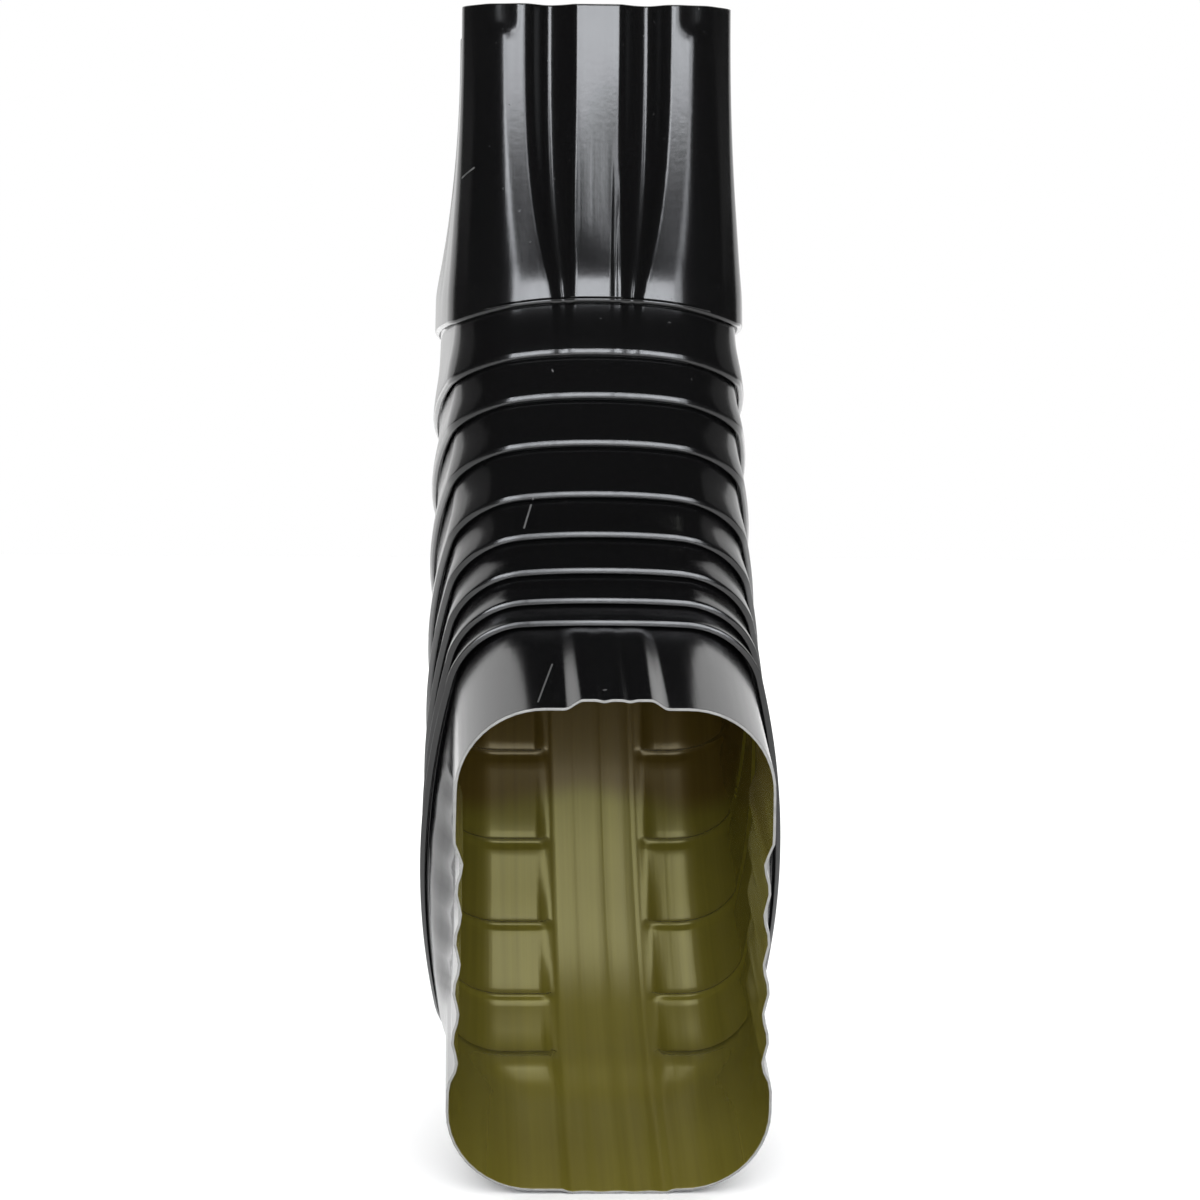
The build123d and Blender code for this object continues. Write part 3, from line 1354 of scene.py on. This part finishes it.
@dataclass(frozen=True)
class Enamel(Finish):
    """Gloss enamel on the outside.

    A noise is given by its scale and detail, a bump by its strength and its height in metres, and
    a rough size is how much its pattern adds to the roughness.
    """

    name: str = "gloss_enamel"
    base: tuple[float, float, float] = (0.002, 0.002, 0.0021)
    worn: tuple[float, float, float] = (0.09, 0.09, 0.09)
    roughness: float = 0.15
    streak_scale: tuple[float, float, float] = (0.55, 0.55, 0.012)
    streak_noise: tuple[float, float] = (1.0, 3.0)
    streak_rough: float = 0.05
    streak_bump: tuple[float, float] = (0.3, 0.00008)
    cloud_noise: tuple[float, float] = (38.0, 2.0)
    cloud_level: float = 0.35
    cloud_rough: float = 0.07
    grain_noise: tuple[float, float] = (900.0, 2.0)
    grain_bump: tuple[float, float] = (0.25, 0.00004)
    dust_noise: tuple[float, float] = (1500.0, 0.0)
    dust_level: float = 0.84
    dust_gain: float = 20.0
    dust_share: float = 0.15
    mark_rough: float = 0.35
    refraction: float = 1.5
    scratches: tuple[Scratch, ...] = ()

    def build(self) -> bpy.types.Material:
        """Black paint with drawn streaks, fine grain, dust and a few hairline scratches.

        Returns:
            The finish.
        """
        material, graph = self.material()
        place = self.object_place(graph)
        streaks = self.noise(graph, self.sheet_place(graph, self.streak_scale), *self.streak_noise)
        cloud = self.noise(graph, place, *self.cloud_noise)
        grain = self.noise(graph, place, *self.grain_noise)
        dust = self.noise(graph, place, *self.dust_noise)
        specks = graph.clamp((dust - self.dust_level) * self.dust_gain)
        marks = self._scratches(graph, place)
        marks = graph.math("MAXIMUM", marks, specks * self.dust_share)
        rough = self.roughness + self.streak_rough * streaks
        rough = rough + self.cloud_rough * graph.clamp(cloud - self.cloud_level)
        rough = rough + self.mark_rough * marks
        peel = self.relief(graph, grain, self.grain_bump)
        self.close(
            graph,
            {
                "Base Color": self.colour(graph, marks, self.base, self.worn),
                "Roughness": rough,
                "IOR": self.refraction,
                "Normal": self.relief(graph, streaks, self.streak_bump, peel),
            },
        )
        return material

    def _scratches(self, graph: Graph, place: Value) -> Value:
        """Mask of the single scratches, by their distance from a line.

        Args:
            graph: the tree.
            place: place in the object, in metres.

        Returns:
            The mask, which is 1 in the middle of a scratch.
        """
        marks = graph.math("ADD", 0.0, 0.0)
        for scratch in self.scratches:
            start = Vector(scratch.start) * METRE
            run = Vector(scratch.end) * METRE - start
            off = graph.add("ShaderNodeVectorMath", {"operation": "SUBTRACT"}, {0: place, 1: start})
            dot = graph.add(
                "ShaderNodeVectorMath", {"operation": "DOT_PRODUCT"}, {0: off.outputs[0], 1: run}
            )
            share = graph.clamp(Value(graph, dot.outputs["Value"]) / run.length_squared)
            foot = graph.add("ShaderNodeVectorMath", {"operation": "SCALE"}, {0: run, "Scale": share})
            gap = graph.add(
                "ShaderNodeVectorMath", {"operation": "DISTANCE"}, {0: off.outputs[0], 1: foot.outputs[0]}
            )
            near = 1.0 - Value(graph, gap.outputs["Value"]) / (scratch.width * METRE)
            marks = graph.math("MAXIMUM", marks, graph.clamp(near))
        return marks


@dataclass(frozen=True)
class Primer(Finish):
    """Olive primer on the inside, with painted shade: a darker brown deeper in, where the inside only
    reflects its own dim walls.

    The deep sizes, for the painted shade, say how far along the middle of the pipe the brown
    shade reaches in the middle of a wall, over how much it fades, and how much further it reaches
    for each millimetre to the side. The rest is given as for the enamel, and a tone size is how much its
    pattern darkens.
    """

    name: str = "olive_primer"
    base: tuple[float, float, float] = (0.15, 0.13, 0.02)
    dark: tuple[float, float, float] = (0.1, 0.08, 0.012)
    # Painted shade: darker brown deep inside, whose edge stands in for where the bright reflection through
    # the mouth ends.
    painted_shade_base: tuple[float, float, float] = (0.1, 0.068, 0.014)
    painted_shade_dark: tuple[float, float, float] = (0.062, 0.039, 0.007)
    painted_shade_from: float = 84.0
    painted_shade_over: float = 6.0
    painted_shade_bow: float = 0.2
    metallic: float = 0.3
    roughness: float = 0.2
    streak_scale: tuple[float, float, float] = (0.9, 0.9, 0.01)
    streak_noise: tuple[float, float] = (1.0, 4.0)
    streak_level: float = 0.3
    streak_tone: float = 0.9
    streak_rough: float = 0.04
    cloud_noise: tuple[float, float] = (30.0, 3.0)
    cloud_level: float = 0.4
    cloud_tone: float = 0.7
    cloud_rough: float = 0.06
    grain_noise: tuple[float, float] = (1400.0, 2.0)
    grain_share: float = 0.1
    bump: tuple[float, float] = (0.3, 0.0001)

    def build(self) -> bpy.types.Material:
        """Thin primer, streaked along the sheet and a little uneven, with painted shade deep inside.

        Returns:
            The finish.
        """
        material, graph = self.material()
        place = self.object_place(graph)
        streaks = self.noise(graph, self.sheet_place(graph, self.streak_scale), *self.streak_noise)
        cloud = self.noise(graph, place, *self.cloud_noise)
        grain = self.noise(graph, place, *self.grain_noise)
        tone = (streaks - self.streak_level) * self.streak_tone
        tone = graph.clamp(tone + (cloud - self.cloud_level) * self.cloud_tone)
        # The deep colours are painted shade: the primer turns a darker brown deep inside the pipe.
        colour = self.colour(
            graph,
            self._painted_shade_mask(graph, place),
            self.colour(graph, tone, self.base, self.dark),
            self.colour(graph, tone, self.painted_shade_base, self.painted_shade_dark),
        )
        rough = self.roughness + self.cloud_rough * (cloud - 0.5) + self.streak_rough * (streaks - 0.5)
        self.close(
            graph,
            {
                "Base Color": colour,
                "Metallic": self.metallic,
                "Roughness": rough,
                "Normal": self.relief(graph, streaks + self.grain_share * grain, self.bump),
            },
        )
        return material

    def _painted_shade_mask(self, graph: Graph, place: Value) -> Value:
        """Mask of the painted shade, the darker brown primer deep inside.

        Args:
            graph: the tree.
            place: place in the object, in metres.

        Returns:
            The mask, which is 1 deep inside, where the painted shade is full.
        """
        along = graph.add("ShaderNodeSeparateXYZ", values={0: self.sheet_place(graph, (1.0, 1.0, 1.0))})
        across = graph.add("ShaderNodeSeparateXYZ", values={0: place})
        off_middle = graph.math("ABSOLUTE", graph.value(across, "X") / METRE)
        edge = self.painted_shade_from + self.painted_shade_bow * off_middle
        return graph.smooth((edge - graph.value(along, "Z")) / self.painted_shade_over)


@dataclass(frozen=True)
class CutEdge(Finish):
    """Bare metal where the sheet was cut, given as the enamel is."""

    name: str = "cut_edge"
    base: tuple[float, float, float] = (0.24, 0.24, 0.235)
    dark: tuple[float, float, float] = (0.12, 0.12, 0.115)
    metallic: float = 0.3
    roughness: float = 0.42
    grain_noise: tuple[float, float] = (700.0, 3.0)
    grain_rough: float = 0.2

    def build(self) -> bpy.types.Material:
        """Grey shorn metal with a fine grain.

        Returns:
            The finish.
        """
        material, graph = self.material()
        place = self.object_place(graph)
        grain = self.noise(graph, place, *self.grain_noise)
        self.close(
            graph,
            {
                "Base Color": self.colour(graph, grain, self.base, self.dark),
                "Metallic": self.metallic,
                "Roughness": self.roughness + self.grain_rough * (grain - 0.5),
            },
        )
        return material


@dataclass
class Elbow:
    """The whole elbow, one closed skin of sheet metal."""

    profile: Profile = field(default_factory=Profile)
    tree: SheetTree = field(default_factory=SheetTree)
    scratches: tuple[Scratch, ...] = (
        Scratch((-24.0, -39.5, -31.8), (-26.3, -36.7, -33.6), 0.25),
        Scratch((-12.6, -59.4, -95.8), (-13.0, -59.4, -97.0), 0.25),
        Scratch((-13.0, -59.4, -97.0), (-13.8, -62.2, -99.4), 0.25),
        Scratch((-13.8, -62.2, -99.4), (-14.4, -64.8, -101.2), 0.25),
        Scratch((-10.4, -112.7, -123.8), (-13.4, -132.0, -129.0), 0.2),
        Scratch((-2.0, -130.2, -127.1), (-1.8, -130.2, -127.1), 0.4),
        Scratch((-8.9, -46.9, -70.3), (-8.3, -46.9, -72.6), 0.22),
    )

    def build(self) -> bpy.types.Object:
        """Makes the elbow and lets it stand for its CAD node.

        Returns:
            The finished object.
        """
        finishes = {
            Side.PAINTED: Enamel(scratches=self.scratches).build(),
            Side.EDGE: CutEdge().build(),
            Side.PRIMED: Primer().build(),
        }
        holder = shown("stations", self._station_mesh())
        tree, values = self.tree.build(finishes)
        modifier = holder.modifiers.new("sheet", "NODES")
        modifier.node_group = tree
        for identifier, value in values.items():
            modifier[identifier] = value
        graph = bpy.context.evaluated_depsgraph_get()
        evaluated = holder.evaluated_get(graph)
        mesh = bpy.data.meshes.new_from_object(evaluated, preserve_all_data_layers=True, depsgraph=graph)
        bpy.data.objects.remove(holder)
        piece = shown("elbow_sheet", mesh)
        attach(piece, BODY)
        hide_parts(NODE)
        return piece

    def _station_mesh(self) -> bpy.types.Mesh:
        """A mesh of one point for each station, which carries its numbers.

        Returns:
            The mesh.
        """
        stations = self.profile.stations()
        mesh = bpy.data.meshes.new("stations")
        mesh.from_pydata([(0.0, 0.0, float(number)) for number in range(len(stations))], [], [])
        numbers = {f.name: [getattr(station, f.name) for station in stations] for f in fields(Station)}
        numbers["bow"] = [station.bow() for station in stations]
        for name, column in numbers.items():
            layer = mesh.attributes.new(name, "FLOAT", "POINT")
            layer.data.foreach_set("value", column)
        return mesh


@dataclass(frozen=True)
class Camera:
    """The photograph's camera, in millimetres and degrees.

    It stands before the centre at its distance, moved up by its rise and tilted down. Its roll
    is about its own axis, and its turn about the elbow's upright axis.
    """

    centre: tuple[float, float, float] = (0.0, -113.0, -54.0)
    distance: float = 638.7
    rise: float = -58.4
    down: float = 2.74
    turn: float = -2.30
    roll: float = 0.377
    lens: float = 109.365
    sensor: float = 36.0
    shift: float = 0.01164
    nearest: float = 10.0

    def build(self) -> bpy.types.Object:
        """Makes the camera and gives it to the scene.

        Returns:
            The camera.
        """
        tilt, roll = radians(self.down), radians(self.roll)
        look = Vector((0.0, cos(tilt), -sin(tilt)))
        up = Vector((0.0, sin(tilt), cos(tilt)))
        right = Vector((1.0, 0.0, 0.0))
        place = Vector(self.centre) - self.distance * look + self.rise * up
        leaned_right = right * cos(roll) + up * sin(roll)
        leaned_up = up * cos(roll) - right * sin(roll)
        axes = Matrix((leaned_right, leaned_up, -look)).transposed().to_4x4()
        spin = Matrix.Rotation(radians(self.turn), 4, "Z")
        data = bpy.data.cameras.new("camera")
        data.lens = self.lens
        data.sensor_width = self.sensor
        data.shift_x = self.shift
        data.clip_start = self.nearest * METRE
        camera = shown("camera", data)
        camera.matrix_world = spin @ Matrix.Translation(place * METRE) @ axes
        bpy.context.scene.camera = camera
        return camera


@dataclass(frozen=True)
class Softbox:
    """A rectangular light that faces a point of the object, in metres.

    Its glow is how bright it looks, whatever its size.
    """

    name: str
    place: tuple[float, float, float]
    target: tuple[float, float, float]
    size: tuple[float, float]
    glow: float
    colour: tuple[float, float, float] = (1.0, 1.0, 1.0)
    mirrored: bool = True

    def build(self) -> bpy.types.Object:
        """Makes the light, hidden from the camera.

        Returns:
            The light.
        """
        data = bpy.data.lights.new(self.name, "AREA")
        data.shape = "RECTANGLE"
        data.size, data.size_y = self.size
        data.energy = self.glow * pi * self.size[0] * self.size[1]
        data.color = self.colour
        light = shown(self.name, data)
        light.location = self.place
        aim = Vector(self.target) - Vector(self.place)
        light.rotation_euler = aim.to_track_quat("-Z", "Y").to_euler()
        light.visible_camera = False
        light.visible_glossy = self.mirrored
        return light


@dataclass(frozen=True)
class Studio:
    """Pale floor, soft lights and a plain surround."""

    floor_half: float = 3.0
    floor_colour: tuple[float, float, float] = (0.93, 0.93, 0.93)
    floor_roughness: float = 0.9
    surround: float = 0.02
    backdrop: float = 1.0
    lights: tuple[Softbox, ...] = (
        Softbox("front", (0.1, -2.6, 0.26), MIDDLE, (0.5, 0.54), 14.0, COOL),
        Softbox("left", (-0.36, -2.6, 0.43), MIDDLE, (0.3, 0.85), 15.0, COOL),
        Softbox("right", (0.56, -2.6, 0.43), MIDDLE, (0.3, 0.85), 8.0, COOL),
        Softbox("back", (0.0, 1.6, 0.75), (0.0, 0.0, 0.75), (3.6, 1.9), 1.0),
        Softbox("back_left", (-1.81, 0.85, 1.45), (0.0, 0.0, 1.45), (1.6, 2.4), 0.18),
        Softbox("back_right", (1.81, 0.85, 1.45), (0.0, 0.0, 1.45), (1.6, 2.4), 0.18),
        Softbox(
            "over_end", (0.002, 0.003, 0.003), (0.002, 0.003, -0.2), (0.054, 0.076), 2.4, (0.97, 1.0, 0.92)
        ),
        Softbox("ceiling", (0.0, 0.0, 3.0), (0.0, 0.0, 0.0), (16.0, 16.0), 1.25, mirrored=False),
        Softbox("fill", (0.0, -2.0, 0.3), (0.0, -0.1, -0.15), (1.6, 1.6), 7.0, mirrored=False),
    )

    def build(self) -> None:
        """Makes the studio."""
        self._floor()
        self._surround()
        for light in self.lights:
            light.build()
        bpy.context.scene.view_settings.view_transform = "Standard"

    def _floor(self) -> None:
        """A plain pale floor under the lowest point of the object."""
        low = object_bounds()[0][2]
        half = self.floor_half
        mesh = bpy.data.meshes.new("floor")
        outline = [(-half, -half, low), (half, -half, low), (half, half, low), (-half, half, low)]
        mesh.from_pydata(outline, [], [(0, 1, 2, 3)])
        material = bpy.data.materials.new("pale_floor")
        material.use_nodes = True
        graph = Graph(material.node_tree)
        values = {"Base Color": (*self.floor_colour, 1.0), "Roughness": self.floor_roughness}
        shader = graph.add("ShaderNodeBsdfPrincipled", values={**values, "Specular IOR Level": 0.0})
        graph.add("ShaderNodeOutputMaterial", values={"Surface": shader.outputs["BSDF"]})
        mesh.materials.append(material)
        floor = shown("floor", mesh)
        floor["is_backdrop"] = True

    def _surround(self) -> None:
        """White behind the object for the camera, dim for reflections."""
        world = bpy.data.worlds.new("surround")
        world.use_nodes = True
        bpy.context.scene.world = world
        graph = Graph(world.node_tree)
        seen = graph.add("ShaderNodeLightPath").outputs["Is Camera Ray"]
        dim = graph.add("ShaderNodeBackground", values={"Strength": self.surround})
        bright = graph.add("ShaderNodeBackground", values={"Strength": self.backdrop})
        for node in (dim, bright):
            node.inputs["Color"].default_value = (1.0, 1.0, 1.0, 1.0)
        mixed = graph.add(
            "ShaderNodeMixShader",
            values={0: seen, 1: dim.outputs["Background"], 2: bright.outputs["Background"]},
        )
        graph.add("ShaderNodeOutputWorld", values={"Surface": mixed.outputs["Shader"]})


def corners() -> list[list[float]]:
    """The shown object's box as plain lists."""
    return [[float(number) for number in corner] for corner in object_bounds()]


def main() -> None:
    """Builds the elbow, its studio and its camera."""
    logging.basicConfig(level=logging.INFO, format="%(name)s: %(message)s")
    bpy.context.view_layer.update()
    piece = Elbow().build()
    LOG.info("%s has %d faces", piece.name, len(piece.data.polygons))
    Studio().build()
    Camera().build()
    LOG.info("box %s", corners())


if __name__ == "__main__":
    main()
